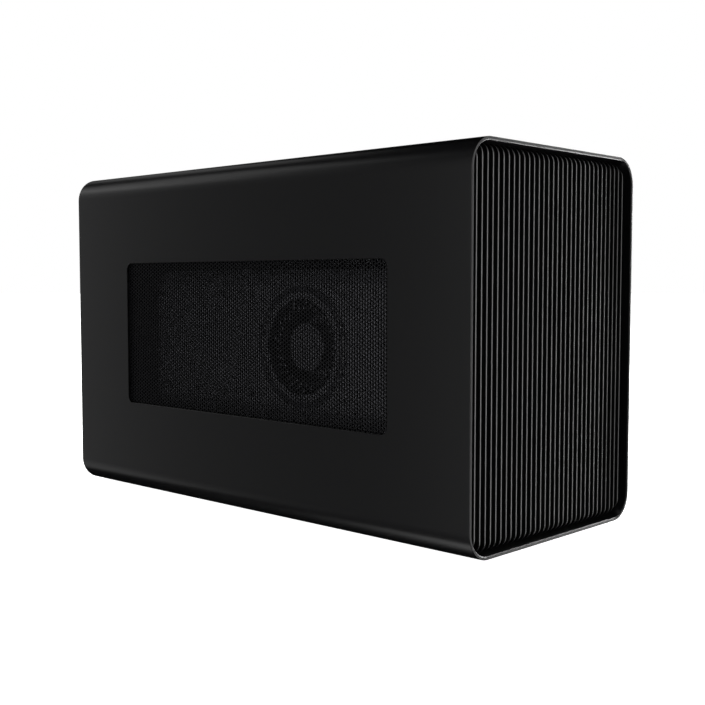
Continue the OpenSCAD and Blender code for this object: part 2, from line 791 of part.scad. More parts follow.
module supply_fan_guard() color("#777777")
    translate([supply_x1, supply_fan_y, supply_mid_z]) along_x(guard_wire) {
        for (i = [1 : guard_rings]) difference() {
            circle(i * fan_duct_r / guard_rings);
            circle(i * fan_duct_r / guard_rings - guard_wire);
        }
        for (a = [45, 135]) rotate(a) difference() {
            union() {
                square([fan_hole_pitch * sqrt(2), guard_wire], center = true);
                for (i = [-1, 1]) translate([i * fan_hole_pitch / sqrt(2), 0]) circle(screw_head_r);
            }
            for (i = [-1, 1]) translate([i * fan_hole_pitch / sqrt(2), 0]) circle(fan_screw_r);
        }
    }

module mains_inlet() color("#0e0e0e")
    translate([inlet_x, supply_y1, inlet_z]) {
        translate([0, -inlet_l, 0]) along_y(inlet_l) difference() {
            square([inlet_w - 2 * seat_gap, inlet_h - 2 * seat_gap], center = true);
            inlet_mouth();
        }
        translate([0, -inlet_l, 0]) along_y(inlet_floor)
            square([inlet_w - 2 * inlet_wall, inlet_h - 2 * inlet_wall], center = true);
        along_y(plug_flange) difference() {
            rounded_rect(inlet_w + 2 * inlet_wall, inlet_h + 2 * inlet_wall, inlet_wall);
            inlet_mouth();
        }
    }

// Mouth of the inlet: a rectangle with two corners cut off
module inlet_mouth() {
    w = inlet_w - 2 * inlet_wall;
    h = inlet_h - 2 * inlet_wall;
    polygon([[-w / 2, -h / 2], [w / 2, -h / 2], [w / 2, h / 4],
        [w / 4, h / 2], [-w / 4, h / 2], [-w / 2, h / 4]]);
}

module mains_pins() color("#c9c9c9")
    translate([inlet_x, supply_y1 - inlet_l + inlet_floor, inlet_z]) along_y(pin_l) {
        for (i = [-1, 1]) translate([i * pin_pitch, -pin_h / 2]) square([pin_w, pin_h], center = true);
        translate([0, pin_h / 2]) square([pin_w, pin_h], center = true);
    }

module switch_housing() color("#0e0e0e")
    translate([switch_x, supply_y1, inlet_z]) {
        translate([0, -switch_l, 0]) along_y(switch_l) difference() {
            square([switch_w - 2 * seat_gap, switch_h - 2 * seat_gap], center = true);
            square([switch_w - 2 * switch_wall, switch_h - 2 * switch_wall], center = true);
        }
        translate([0, -switch_l, 0]) along_y(switch_wall)
            square([switch_w - 2 * switch_wall, switch_h - 2 * switch_wall], center = true);
        along_y(plug_flange) difference() {
            rounded_rect(switch_w + 2 * switch_wall, switch_h + 2 * switch_wall, switch_wall);
            square([switch_w - 2 * switch_wall, switch_h - 2 * switch_wall], center = true);
        }
        for (i = [0, 1]) mirror([i, 0, 0])
            translate([switch_w / 2 - 2.5 * switch_wall, 0, 0])
                along_x(2 * switch_wall) translate([-rocker_drop, 0]) circle(switch_wall);
    }

module switch_rocker() color("#181818") {
    half_w = switch_w / 2 - switch_wall - run_gap;
    translate([switch_x - half_w, supply_y1 - rocker_drop, inlet_z]) rotate([-rocker_tilt, 0, 0])
        difference() {
            along_x(2 * half_w) intersection() {
                circle(rocker_r);
                polygon([[-rocker_r / 2, -rocker_r], [rocker_drop + rocker_lip, -rocker_r], [rocker_drop, 0],
                    [rocker_drop + rocker_lip, rocker_r], [-rocker_r / 2, rocker_r]]);
            }
            translate([-over, 0, 0]) along_x(2 * half_w + 2 * over) circle(switch_wall + shaft_gap);
        }
}

module supply_screws() color("#8c8c8c")
    for (p = supply_screw_places)
        translate([p[0], panel_y, p[1]]) {
            along_y(screw_head_t) circle(screw_head_r);
            translate([0, -sheet_t - supply_t, 0])
                along_y(sheet_t + supply_t + screw_head_t / 2) circle(fan_screw_r - seat_gap);
        }

// Carrier board and what stands on it
module carrier_board() color("#17301f") difference() {
    box(carrier_mid_x - carrier_w / 2, carrier_mid_x + carrier_w / 2, carrier_y0, carrier_y1,
        carrier_z, carrier_top_z);
    for (p = standoff_places)
        translate([p[0], p[1], carrier_z - over]) linear_extrude(board_t + 2 * over) circle(standoff_hole_r);
}

module board_standoffs() color("#b08d4c")
    for (p = standoff_places) translate([p[0], p[1], 0]) {
        translate([0, 0, shelf_top_z]) linear_extrude(standoff_h) circle(standoff_r, $fn = 6);
        translate([0, 0, carrier_z]) linear_extrude(board_t) circle(standoff_hole_r - seat_gap);
        translate([0, 0, carrier_top_z]) linear_extrude(standoff_hole_r) circle(standoff_r - seat_gap);
    }

// Slot with two ears at its front end for the latch
module card_slot() color("#101010") {
    slot_y0 = slot_rear_y - slot_l;
    slot_top_z = carrier_top_z + slot_h;
    difference() {
        box(slot_x - slot_w / 2, slot_x + slot_w / 2, slot_y0, slot_rear_y, carrier_top_z, slot_top_z);
        box(slot_x - slot_gap_w / 2, slot_x + slot_gap_w / 2, slot_y0 + board_t, slot_rear_y - board_t,
            slot_top_z - finger_h - over, slot_top_z + over);
    }
    for (i = [-1, 1])
        translate([slot_x + i * (latch_w / 2 + run_gap + latch_ear_t / 2) - latch_ear_t / 2, 0, 0])
            along_x(latch_ear_t) difference() {
                translate([latch_y - latch_l / 2, carrier_top_z])
                    square([slot_y0 + over - latch_y + latch_l / 2, latch_z + latch_l / 2 - carrier_top_z]);
                translate([latch_y, latch_z]) circle(latch_r + shaft_gap);
            }
}

module card_latch() color("#c8c8c4") {
    top_z = carrier_top_z + slot_h - run_gap;
    translate([slot_x - latch_w / 2, 0, 0]) along_x(latch_w) {
        translate([latch_y, latch_z]) circle(latch_l / 2);
        translate([latch_y - latch_l / 2, latch_z]) square([latch_l, top_z - latch_z - latch_l / 3]);
        translate([latch_y - latch_l, top_z - latch_l / 3]) square([1.5 * latch_l, latch_l / 3]);
    }
    translate([slot_x - latch_w / 2 - run_gap - latch_ear_t, latch_y, latch_z])
        along_x(latch_w + 2 * (run_gap + latch_ear_t)) circle(latch_r);
}

module controller_heatsink() color("#8f9296") {
    x0 = carrier_mid_x - carrier_w / 2 + 2 * standoff_in;
    y0 = carrier_y0 + 2 * standoff_in;
    pitch = (sink_w - sink_fin_t) / (sink_fin_count - 1);
    translate([x0, y0, carrier_top_z]) along_y(sink_l) {
        square([sink_w, sink_base]);
        for (i = [0 : sink_fin_count - 1]) translate([i * pitch, 0]) square([sink_fin_t, sink_h]);
    }
}

// Block with a grid of square pockets, one for each contact
module power_block() difference() {
    cube([socket_l, socket_w, socket_h]);
    for (i = [0 : socket_cols - 1], j = [0 : socket_rows - 1])
        translate([socket_wall + i * socket_pitch, socket_wall + j * socket_pitch, socket_h / 3])
            cube([socket_pitch - socket_wall, socket_pitch - socket_wall, socket_h]);
}

module power_socket() color("#0f0f0f")
    translate([carrier_mid_x - carrier_w / 2 + 2 * standoff_in, carrier_y1 - carrier_l / 2, carrier_top_z])
        power_block();

module usb_c_socket() color("#b5b5b5")
    translate([usb_x, panel_y - usb_l, carrier_top_z + usb_h / 2]) {
        along_y(usb_l) difference() {
            usb_outline(0);
            usb_outline(usb_shell);
        }
        along_y(usb_shell) usb_outline(usb_shell);
        along_y(usb_l - usb_shell) square([usb_w * 0.7, usb_shell], center = true);
    }

module usb_outline(less)
    rounded_rect(usb_w - less, usb_h - less, (usb_h - less - seat_gap) / 2);

// Graphics card
module card_board() color("#15202a") {
    board_l = shroud_l - board_short;
    translate([card_x, 0, 0]) along_x(board_t) {
        translate([bracket_y - board_l, card_z]) square([board_l, card_h]);
        translate([bracket_y - finger_back - finger_l, card_z - finger_h]) difference() {
            square([finger_l, finger_h + over]);
            translate([finger_l - key_back, -over]) square([key_w, finger_h + over]);
        }
    }
}

module card_backplate() color("#26282a") {
    plate_x = card_x + board_t + backplate_gap;
    plate_l = shroud_l - backplate_short;
    plate_h = card_h - backplate_low;
    difference() {
        translate([plate_x, bracket_y - backplate_in - plate_l / 2, card_z + card_h / 2 + run_gap])
            along_x(backplate_t) rounded_rect(plate_l, plate_h, 4 * backplate_t);
        for (p = backplate_places)
            translate([plate_x - over, p[0], p[1]]) along_x(backplate_t + 2 * over) circle(fan_screw_r);
    }
    for (p = backplate_places)
        translate([card_x + board_t, p[0], p[1]]) along_x(backplate_gap + backplate_t) circle(fan_screw_r);
}

// Flat plate over the bays from the first to the last one named
module bracket_plate(first, last) {
    x0 = bay_x(last) - bracket_w / 2;
    translate([x0, card_z - bracket_foot])
        square([bay_x(first) + bracket_w / 2 - x0, ledge_z + bracket_t - card_z + bracket_foot]);
}

module card_bracket() color("#b9bcc0") {
    x1 = bay_x(0) + bracket_w / 2;
    x0 = bay_x(1) - bracket_w / 2;
    translate([0, bracket_y, 0]) along_y(bracket_t) difference() {
        bracket_plate(0, 1);
        for (i = [0 : vent_slot_n - 1])
            translate([bay_x(1), bay_z0 + (i + 0.7) * (bay_z1 - bay_z0) / vent_slot_n])
                square([bay_open_w * 0.8, vent_slot_w], center = true);
        for (p = video_places)
            translate([video_x, p]) square([video_w + 2 * seat_gap, video_h + 2 * seat_gap], center = true);
    }
    difference() {
        box(x0, x1, bracket_y, panel_y + tab_deep, ledge_z, ledge_z + bracket_t);
        for (i = [0, 1])
            translate([bay_x(i), thumb_y, ledge_z - over])
                linear_extrude(bracket_t + 2 * over) circle(thumb_r + seat_gap);
    }
}

module thumbscrews() color("#202020")
    for (i = [0 : bay_count - 1]) translate([bay_x(i), thumb_y, 0]) {
        translate([0, 0, ledge_z + bracket_t]) difference() {
            linear_extrude(thumb_head_h) circle(thumb_head_r);
            for (k = [0 : thumb_grips - 1]) rotate(k * 360 / thumb_grips)
                translate([thumb_head_r, 0, thumb_head_h / 3])
                    linear_extrude(thumb_head_h) circle(thumb_r / 4, $fn = 4);
            translate([-thumb_head_r - over, -thumb_r / 4, thumb_head_h - thumb_r / 2])
                cube([2 * (thumb_head_r + over), thumb_r / 2, thumb_r]);
        }
        translate([0, 0, ledge_z - ledge_t]) linear_extrude(ledge_t + bracket_t) circle(thumb_r);
    }

module slot_cover() color("#2a2a2a") {
    x = bay_x(bay_count - 1);
    translate([0, bracket_y, 0]) along_y(bracket_t) bracket_plate(bay_count - 1, bay_count - 1);
    difference() {
        box(x - bracket_w / 2, x + bracket_w / 2, bracket_y, panel_y + tab_deep,
            ledge_z, ledge_z + bracket_t);
        translate([x, thumb_y, ledge_z - over])
            linear_extrude(bracket_t + 2 * over) circle(thumb_r + seat_gap);
    }
}

// Video sockets stand on the board's face, one above the other
module video_sockets() color("#a4a7ab")
    for (p = video_places) translate([video_x + seat_gap, panel_in_y - video_l, p]) {
        along_y(video_l) difference() {
            square([video_w, video_h], center = true);
            square([video_w - usb_shell, video_h - usb_shell], center = true);
        }
        along_y(video_l / 2) square([video_w - usb_shell, video_h - usb_shell], center = true);
        along_y(video_l - usb_shell) square([video_w / 4, video_h * 0.7], center = true);
    }

module card_power_sockets() color("#0f0f0f")
    for (i = [0, 1])
        translate([card_x, card_socket_y - i * socket_step, card_z + card_h - socket_h * 5 / 6])
            rotate([0, 0, 90]) power_block();

// Heat sink: a base plate and fins that lead the blower's air to the bracket
module card_heatsink() color("#8f9296") {
    x0 = shroud_x + face_step + shroud_wall + run_gap;
    x1 = card_x - heat_lift;
    h = shroud_h - 2 * shroud_bevel - 2 * shroud_wall;
    y0 = blower_y + blower_hollow_r + 2 * rotor_gap;
    y1 = bracket_y - tail_l - rotor_gap;
    pitch = (h - card_fin_t) / (card_fin_count - 1);
    translate([0, y0, shroud_mid_z - h / 2]) along_y(y1 - y0) {
        translate([x1 - sink_base, 0]) square([sink_base, h]);
        for (i = [0 : card_fin_count - 1]) translate([x0, i * pitch]) square([x1 - x0, card_fin_t]);
    }
    for (p = heat_posts) translate([x1, p[0], p[1]]) along_x(heat_lift) circle(fan_screw_r);
}

// Blower: motor on the board, rotor with upright blades on a disc
module blower_motor() color("#6d6d6d") translate([card_x, blower_y, shroud_mid_z]) {
    translate([-motor_h, 0, 0]) along_x(motor_h) circle(blower_hub_r * 0.9);
    translate([-motor_h - motor_shaft_h, 0, 0]) along_x(motor_shaft_h + over) circle(shaft_r);
}

module blower_rotor() color("#161616") {
    x0 = shroud_x + face_step + shroud_wall + rotor_gap;
    x1 = card_x - motor_h - rotor_gap;
    translate([x0, blower_y, shroud_mid_z]) difference() {
        union() {
            along_x(x1 - x0) circle(blower_hub_r);
            translate([x1 - x0 - blower_disc_t, 0, 0]) along_x(blower_disc_t) circle(blower_r);
            along_x(x1 - x0) for (i = [0 : blower_blades - 1])
                rotate(i * 360 / blower_blades) translate([blower_inner_r, 0]) rotate(blade_tilt)
                    square([blower_r - blower_inner_r, blower_blade_t]);
            along_x(blower_blade_t) difference() {
                circle(blower_r);
                circle(intake_r + over);
            }
        }
        translate([x1 - x0 - motor_shaft_h, 0, 0]) along_x(motor_shaft_h + over) circle(shaft_r + shaft_gap);
    }
}

// Shroud: a bevelled hood, open towards the board and the bracket, with a raised face
module shroud_section(inset) {
    x0 = shroud_x + face_step + inset;
    x1 = card_x + (inset > 0 ? over : -run_gap);
    z0 = shroud_z + inset;
    z1 = shroud_z + shroud_h - inset;
    polygon([[x1, z0], [x0 + shroud_bevel_deep, z0], [x0, z0 + shroud_bevel], [x0, z1 - shroud_bevel],
        [x0 + shroud_bevel_deep, z1], [x1, z1]]);
}

module shroud_plan(inset) {
    x0 = shroud_x + face_step + inset;
    y0 = shroud_y0 + inset;
    y1 = bracket_y + (inset > 0 ? over : -run_gap);
    polygon([[card_x + over, y0 + nose_back], [x0 + nose_deep, y0], [x0, y0 + nose_l], [x0, y1 - tail_l],
        [x0 + tail_deep, y1 - tail_step], [x0 + tail_deep, y1], [card_x + over, y1]]);
}

// Raised face, narrowed at the nose by two slanted shoulders
module face_outline() {
    half = shroud_h / 2 - shroud_bevel - shroud_wall / 2;
    y0 = shroud_y0 + nose_l + rotor_gap;
    y1 = bracket_y - tail_l - rotor_gap;
    polygon([[y0, -half * nose_share], [y0 + shoulder_l, -half * shoulder_share],
        [y0 + 2 * shoulder_l, -half], [y1, -half], [y1, half], [y0 + 2 * shoulder_l, half],
        [y0 + shoulder_l, half * shoulder_share], [y0, half * nose_share]]);
}

module card_shroud() color("#1b1b1b") difference() {
    union() {
        difference() {
            intersection() {
                translate([0, shroud_y0, 0]) along_y(shroud_l) shroud_section(0);
                translate([0, 0, shroud_z]) linear_extrude(shroud_h) shroud_plan(0);
            }
            intersection() {
                translate([0, shroud_y0, 0]) along_y(shroud_l + over) shroud_section(shroud_wall);
                translate([0, 0, shroud_z]) linear_extrude(shroud_h) shroud_plan(shroud_wall);
            }
        }
        translate([shroud_x, 0, shroud_mid_z]) along_x(face_step + over) face_outline();
        translate([shroud_x - ring_proud, blower_y, shroud_mid_z]) along_x(ring_proud + over) circle(ring_r);
    }
    translate([shroud_x - shroud_bevel_deep, blower_y, shroud_mid_z]) along_x(card_deep / 2) circle(intake_r);
    for (p = shroud_screw_places)
        translate([shroud_x - over, p[0], p[1]]) along_x(screw_head_t / 2 + over) circle(screw_head_r * 0.7);
    for (i = [0, 1])
        translate([card_x - socket_w - socket_wall - over, card_socket_y - i * socket_step - over,
            shroud_z + shroud_h - shroud_wall - over])
            cube([socket_w + socket_wall + 2 * over, socket_l + 2 * over, shroud_wall + 2 * over]);
}

module shroud_screws() color("#050505")
    for (p = shroud_screw_places)
        translate([shroud_x + screw_head_t / 4, p[0], p[1]])
            along_x(screw_head_t / 4) circle(screw_head_r * 0.7 - seat_gap);

sleeve();
window_mesh();
vent_mesh();
front_fin_panel();
front_bulkhead();
feet();
guide_rails();
base_tray();
rear_panel();
centre_wall();
board_shelf();
fan_bracket();
handle_bracket();
handle_pins();
handle();
supply_case();
supply_cover();
supply_circuit();
supply_fan_frame();
supply_fan_rotor();
supply_fan_guard();
mains_inlet();
mains_pins();
switch_housing();
switch_rocker();
supply_screws();
case_fan_frame();
case_fan_rotor();
case_fan_screws();
carrier_board();
board_standoffs();
card_slot();
card_latch();
controller_heatsink();
power_socket();
usb_c_socket();
card_board();
card_backplate();
card_bracket();
video_sockets();
card_power_sockets();
card_heatsink();
blower_motor();
blower_rotor();
card_shroud();
shroud_screws();
slot_cover();
thumbscrews();
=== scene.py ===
"""Looks of the external graphics card enclosure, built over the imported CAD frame.

Everything is in metres in the CAD's own frame: +Z up, the finned front towards
-Y, the window on the -X side, and the drawer sliding out along +Y. The
functions below take millimetres where their names say so.
"""
import math

import bmesh
import bpy
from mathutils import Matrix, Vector
from mathutils.geometry import tessellate_polygon


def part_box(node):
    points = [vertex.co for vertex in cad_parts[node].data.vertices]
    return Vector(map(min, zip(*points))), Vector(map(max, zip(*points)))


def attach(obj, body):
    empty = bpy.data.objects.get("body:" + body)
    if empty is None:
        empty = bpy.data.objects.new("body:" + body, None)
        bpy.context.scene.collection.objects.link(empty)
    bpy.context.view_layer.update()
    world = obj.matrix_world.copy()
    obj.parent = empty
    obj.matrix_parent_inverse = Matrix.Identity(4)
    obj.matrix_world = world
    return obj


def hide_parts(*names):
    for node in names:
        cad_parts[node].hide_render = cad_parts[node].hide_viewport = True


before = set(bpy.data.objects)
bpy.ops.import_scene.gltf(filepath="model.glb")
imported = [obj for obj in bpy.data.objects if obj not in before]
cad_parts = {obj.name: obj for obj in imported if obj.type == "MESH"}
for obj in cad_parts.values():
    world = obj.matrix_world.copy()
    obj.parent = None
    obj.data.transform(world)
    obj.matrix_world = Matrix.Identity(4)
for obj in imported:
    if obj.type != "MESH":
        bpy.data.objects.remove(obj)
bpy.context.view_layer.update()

MM = 0.001

# Camera of the photograph, worked out from the sleeve's corners
CAMERA_PLACE = (-538.14 * MM, -532.58 * MM, 152.74 * MM)
CAMERA_YAW = 46.505
CAMERA_PITCH = 3.722
CAMERA_FOCAL_PX = 1082.81
PHOTO_SIDE_PX = 705
SENSOR_MM = 36.0

# The sleeve: its corner and wall, the edges of its front lip and its rear end, in millimetres
SLEEVE_RADIUS = 16.5
SLEEVE_WALL = 2.0
ARC_STEPS = 20
LIP_CHAMFER = 0.5
LIP_ROUND = 0.35
LIP_STEPS = 4
REAR_CHAMFER = 0.3
# A face that turns further towards the front than this is one that the tool cut
CUT_FACE_TURN = -0.6
SLEEVE_SHARP_DEGREES = 24

# The openings in the sleeve's sides: fine chamfer, corner, and how far the cutter passes the wall
CUT_CHAMFER = 0.25
CUT_RADIUS = 4.8
CUT_STEPS = 8
CUTTER_PAST = 2.0

# Perforated sheets: rim behind the sleeve, spacing of the holes, metal between two of them, and
# how far the holes run on past the opening
SHEET_RIM = 7.0
HOLE_PITCH = 2.4
HOLE_WEB = 0.55
HOLES_PAST_CUT = 4.0
# Corners of cells nearer than this are one corner
CORNER_STEP = 0.02

# Front fins: spacing, width and bevel of their fronts, depth to the plate behind, and the roll of
# their ends. They run a little into the plate.
FIN_COUNT = 32
FIN_PITCH = 4.865
FIN_FRONT_WIDTH = 0.9
FIN_EDGE = 0.1
FIN_DEPTH = 9.0
FIN_SUNK = 0.1
FIN_END_ROLL = 6.5
FIN_ROLL_STEPS = 12
FIN_PLATE_TIGHTER = 0.5
FIN_PLATE_STEPS = 10

# The hood's end flange: width, rise over the hood past the bracket's slots, corner, and its rings
# as (gap to the bracket, how far each side is drawn in) pairs
FLANGE_WIDTH = 17.0
FLANGE_RISE = 6.0
FLANGE_RADIUS = 2
FLANGE_STEPS = 6
FLANGE_RINGS = ((2.2, 0.4), (1.8, 0.0), (0.1, 0.0))

# The ring round the blower's intake: clearance to the rotor, width, height over the hood and
# depth into it, with the steps round it and the degrees of a step over its crown
RING_PAST_ROTOR = 1.5
RING_WIDTH = 4.0
RING_RISE = 0.9
RING_SUNK = 0.3
RING_STEPS = 72
RING_CROWN_STEP = 20

# Every grain varies the gloss by this share; bump strength and noise detail are common too
GLOSS_SPREAD = 0.15
BUMP_STRENGTH = 0.5
NOISE_DETAIL = 4.0

FLOOR_REACH = 12.0


# ---------------------------------------------------------------- small tools
def linear(colour):
    """An sRGB hex colour as the linear red, green, blue and alpha that a shader takes."""
    parts = [int(colour[i:i + 2], 16) / 255 for i in (1, 3, 5)]
    return [c / 12.92 if c <= 0.04045 else ((c + 0.055) / 1.055) ** 2.4 for c in parts] + [1.0]


def add(tree, kind, links=None, **settings):
    """One node of a kind, with its inputs and its properties.

    links gives each input by name or number: an output socket is linked to it,
    and anything else is its value. settings are the node's own properties.
    """
    node = tree.nodes.new(kind)
    for name, value in settings.items():
        setattr(node, name, value)
    for name, value in (links or {}).items():
        if isinstance(value, bpy.types.NodeSocket):
            tree.links.new(value, node.inputs[name])
        else:
            node.inputs[name].default_value = value
    return node


def finish_of(name, colour, roughness, grain_mm, metallic=0.0, specular=0.5, grain_height=0.0,
              mottle=0.0, stretch=(1, 1, 1)):
    """A surface whose fine grain breaks up its gloss, its height and a little of its colour."""
    material = bpy.data.materials.new(name)
    material.use_nodes = True
    tree = material.node_tree
    shader = tree.nodes["Principled BSDF"]
    shader.inputs["Base Color"].default_value = linear(colour)
    shader.inputs["Roughness"].default_value = roughness
    shader.inputs["Metallic"].default_value = metallic
    if not metallic:
        shader.inputs["Specular IOR Level"].default_value = specular
    place = add(tree, "ShaderNodeTexCoord")
    scaled = add(tree, "ShaderNodeMapping", {"Vector": place.outputs["Object"], "Scale": stretch})
    noise = add(tree, "ShaderNodeTexNoise", {"Vector": scaled.outputs["Vector"],
                                             "Scale": 1 / (grain_mm * MM), "Detail": NOISE_DETAIL})
    grain = noise.outputs["Fac"]
    gloss = add(tree, "ShaderNodeMapRange", {"Value": grain, "To Min": roughness * (1 - GLOSS_SPREAD),
                                             "To Max": min(1.0, roughness * (1 + GLOSS_SPREAD))})
    tree.links.new(gloss.outputs["Result"], shader.inputs["Roughness"])
    if grain_height:
        bump = add(tree, "ShaderNodeBump", {"Height": grain, "Strength": BUMP_STRENGTH,
                                            "Distance": grain_height * MM})
        tree.links.new(bump.outputs["Normal"], shader.inputs["Normal"])
    if mottle:
        tone = add(tree, "ShaderNodeMapRange", {"Value": grain, "To Min": 1 - mottle, "To Max": 1 + mottle})
        tint = add(tree, "ShaderNodeVectorMath", {0: linear(colour)[:3], "Scale": tone.outputs["Result"]},
                   operation="SCALE")
        tree.links.new(tint.outputs["Vector"], shader.inputs["Base Color"])
    return material


def piece(name, mesh, body, material, stands_for=(), smooth_under=35):
    """A finished mesh as a piece that rides on a body, smooth where its faces turn less than smooth_under."""
    thing = bpy.data.objects.new(name, mesh)
    bpy.context.collection.objects.link(thing)
    mesh.materials.append(material)
    mesh.polygons.foreach_set("use_smooth", [True] * len(mesh.polygons))
    mesh.set_sharp_from_angle(angle=math.radians(smooth_under))
    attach(thing, body)
    if stands_for:
        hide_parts(*stands_for)
    return thing


def mesh_of(name, points_mm, faces):
    """A mesh from points in millimetres, with its normals made to agree."""
    mesh = bpy.data.meshes.new(name)
    mesh.from_pydata([[c * MM for c in p] for p in points_mm], [], faces)
    shape = bmesh.new()
    shape.from_mesh(mesh)
    bmesh.ops.remove_doubles(shape, verts=shape.verts, dist=0.001 * MM)
    bmesh.ops.recalc_face_normals(shape, faces=shape.faces)
    shape.to_mesh(mesh)
    shape.free()
    return mesh


def rounded_outline(width, height, radius, steps=ARC_STEPS):
    """Points of a rounded rectangle about the origin, going round once."""
    points = []
    for corner, (sx, sy) in enumerate([(1, 1), (-1, 1), (-1, -1), (1, -1)]):
        for i in range(steps + 1):
            angle = math.radians(90 * corner + 90 * i / steps)
            points.append((sx * (width / 2 - radius) + radius * math.cos(angle),
                           sy * (height / 2 - radius) + radius * math.sin(angle)))
    return points


def loft(rings, closed=True):
    """Points and faces of a skin through rings of equal length; closed joins the last to the first."""
    count = len(rings[0])
    points = [p for ring in rings for p in ring]
    faces = []
    for k in range(len(rings) if closed else len(rings) - 1):
        a, b = k * count, (k + 1) % len(rings) * count
        faces += [(a + i, a + (i + 1) % count, b + (i + 1) % count, b + i) for i in range(count)]
    if not closed:
        faces += [tuple(range(count)), tuple(range((len(rings) - 1) * count, len(rings) * count))]
    return points, faces


def box_mm(node):
    """Lowest and highest corner of a CAD node at rest, in millimetres."""
    low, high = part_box(node)
    return [c / MM for c in low], [c / MM for c in high]


def middle_of(low, high):
    """The middle of a box from its two corners."""
    return [(a + b) / 2 for a, b in zip(low, high)]


# ---------------------------------------------------------------- materials
# Grain sizes are in millimetres. Blasted, powder-coated and moulded grain is really 0.05 to 0.2 mm
# across, so here it is drawn at 0.3 to 0.9 mm, as coarse as it needs to be to show.

# Aluminium, bead-blasted and anodised black: a soft satin sheen with no sparkle
anodised_black = finish_of("anodised_aluminium_black", "#050506", 0.3, 0.5, grain_height=0.004)
# The same aluminium where a tool cut it after blasting: no blasted grain, so its edge is a clean thin line
anodised_cut = finish_of("anodised_aluminium_cut", "#070708", 0.38, 0.4, specular=0.2)
# Aluminium, extruded and anodised black: satin fronts with faint lines along the fin, and dark flanks
fin_black = finish_of("anodised_aluminium_fins", "#040404", 0.34, 0.6, specular=1.0, stretch=(1, 1, 0.1))
# Steel sheet, punched and powder-coated matt black: dull webs, so that the eye looks through the holes
mesh_black = finish_of("powder_coated_mesh", "#08080a", 0.5, 0.3, specular=0.13, grain_height=0.01)
# Steel, powder-coated: a slight orange-peel texture and a broad, dull sheen
panel_black = finish_of("powder_coated_steel", "#2b2b2d", 0.5, 0.8, grain_height=0.02)
# Steel sheet, rolled and zinc-plated: dull silver with faint lines along the roll
zinc_sheet = finish_of("zinc_plated_steel", "#8d9093", 0.38, 3.0, metallic=1.0, mottle=0.06,
                       stretch=(6, 0.4, 6))
# Steel, stamped and nickel-plated: warmer and brighter than zinc, with short upright streaks
bright_plate = finish_of("nickel_plated_steel", "#a9abad", 0.28, 1.5, metallic=1.0, mottle=0.04,
                         stretch=(4, 4, 0.4))
# Steel screws, zinc-plated: small bright heads
screw_plate = finish_of("zinc_plated_screws", "#9a9c9e", 0.32, 0.8, metallic=1.0)
# Steel wire, drawn and chromed: sharp bright lines along each ring
wire_plate = finish_of("chromed_wire", "#b4b6b8", 0.18, 2.0, metallic=1.0)
# Steel, turned: the motor's can, grey and softly bright
motor_plate = finish_of("turned_motor_can", "#8b8d90", 0.3, 0.8, metallic=1.0)
# Brass, turned: warm yellow standoffs and contact pins, a little uneven in tone
brass = finish_of("turned_brass", "#b08d4c", 0.3, 0.6, metallic=1.0, mottle=0.05)
# Aluminium, extruded and left bare: pale grey with faint lines along the fins
raw_aluminium = finish_of("extruded_aluminium", "#9fa2a5", 0.36, 1.2, metallic=1.0, mottle=0.05,
                          stretch=(3, 0.3, 3))
# ABS, moulded in a lightly textured mould: black with a soft gloss, as on the handle and the rocker
abs_black = finish_of("abs_black", "#1d1d1f", 0.42, 0.5, grain_height=0.01)
# PBT, moulded: the frame fans' black, a touch smoother than the handle's
abs_fan = finish_of("pbt_fan_black", "#1b1b1d", 0.4, 0.6, grain_height=0.008)
# ABS, moulded in grey-black: lighter than the mesh, so the card still shows through it
abs_hood = finish_of("abs_card_hood", "#4b4b4f", 0.38, 0.5, grain_height=0.008)
# Glass-filled ABS, moulded: the blower's wheel, a little greyer than the frame fans
abs_blower = finish_of("abs_blower_grey", "#46464a", 0.4, 0.5, grain_height=0.008)
# ABS, moulded against a polished tool: the dark, glossier ring round the blower's intake
abs_trim = finish_of("abs_card_trim", "#2c2c30", 0.3, 0.5, specular=0.35)
# Nylon, moulded: the sockets' and rails' black, slightly waxy
nylon_black = finish_of("nylon_socket_black", "#171718", 0.42, 0.5)
# Nylon, moulded uncoloured: the latch's off-white, slightly waxy
nylon_white = finish_of("nylon_latch_white", "#c8c8c4", 0.45, 0.5)
# Rubber, moulded: the feet, with next to no gloss
rubber = finish_of("rubber_foot", "#0c0c0c", 0.8, 0.6, grain_height=0.02)
# Glass-fibre board under its solder mask: an even, slightly glossy skin over a faint weave
board_green = finish_of("fr4_green_mask", "#17351f", 0.35, 0.9, grain_height=0.01, mottle=0.08)
board_black = finish_of("fr4_black_mask", "#12161a", 0.35, 0.9, grain_height=0.01, mottle=0.08)
# Paper and resin board with no mask: tan, duller and blotchy
board_tan = finish_of("fr2_supply_board", "#7a6a3a", 0.5, 0.9, mottle=0.08)

